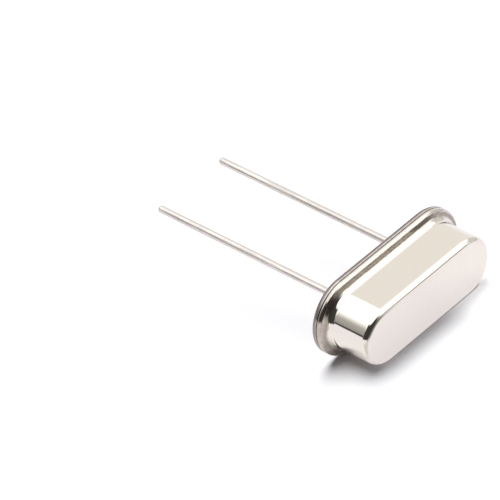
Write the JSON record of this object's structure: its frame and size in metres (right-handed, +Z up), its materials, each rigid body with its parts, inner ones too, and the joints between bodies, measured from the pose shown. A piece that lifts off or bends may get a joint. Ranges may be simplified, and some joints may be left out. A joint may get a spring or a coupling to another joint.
{
  "type": "crystal oscillator",
  "caption": "Low metal-can quartz crystal unit: a drawn can with a flat face and round ends, welded to a flanged base, with stiff parallel leads sealed in glass beads.",
  "frame": {"origin": "The centre of the bounding box's underside, on the surface that the unit lies on.", "axes": "+X runs along the can's length, +Y is the way the leads point over the surface, and +Z is up. The case's own axis is tipped 12.27 degrees up from +Y, because the unit lies on the edge of its flange and the crown of its can."},
  "size_m": [0.011, 0.0174, 0.0055],
  "materials": {
    "can": "gloss",
    "base": "gloss",
    "leads": "satin",
    "glass": "gloss",
    "clips": "satin",
    "quartz": "polished",
    "electrodes": "satin",
    "adhesive": "matte"
  },
  "bodies": {
    "root": {"can": "can", "base": "base", "glass_left": "glass", "glass_right": "glass", "lead_left": "leads", "lead_right": "leads", "clip_left": "clips", "clip_right": "clips", "quartz_blank": "quartz", "electrode_top": "electrodes", "electrode_bottom": "electrodes", "adhesive_left": "adhesive", "adhesive_right": "adhesive"}
  },
  "joints": []
}
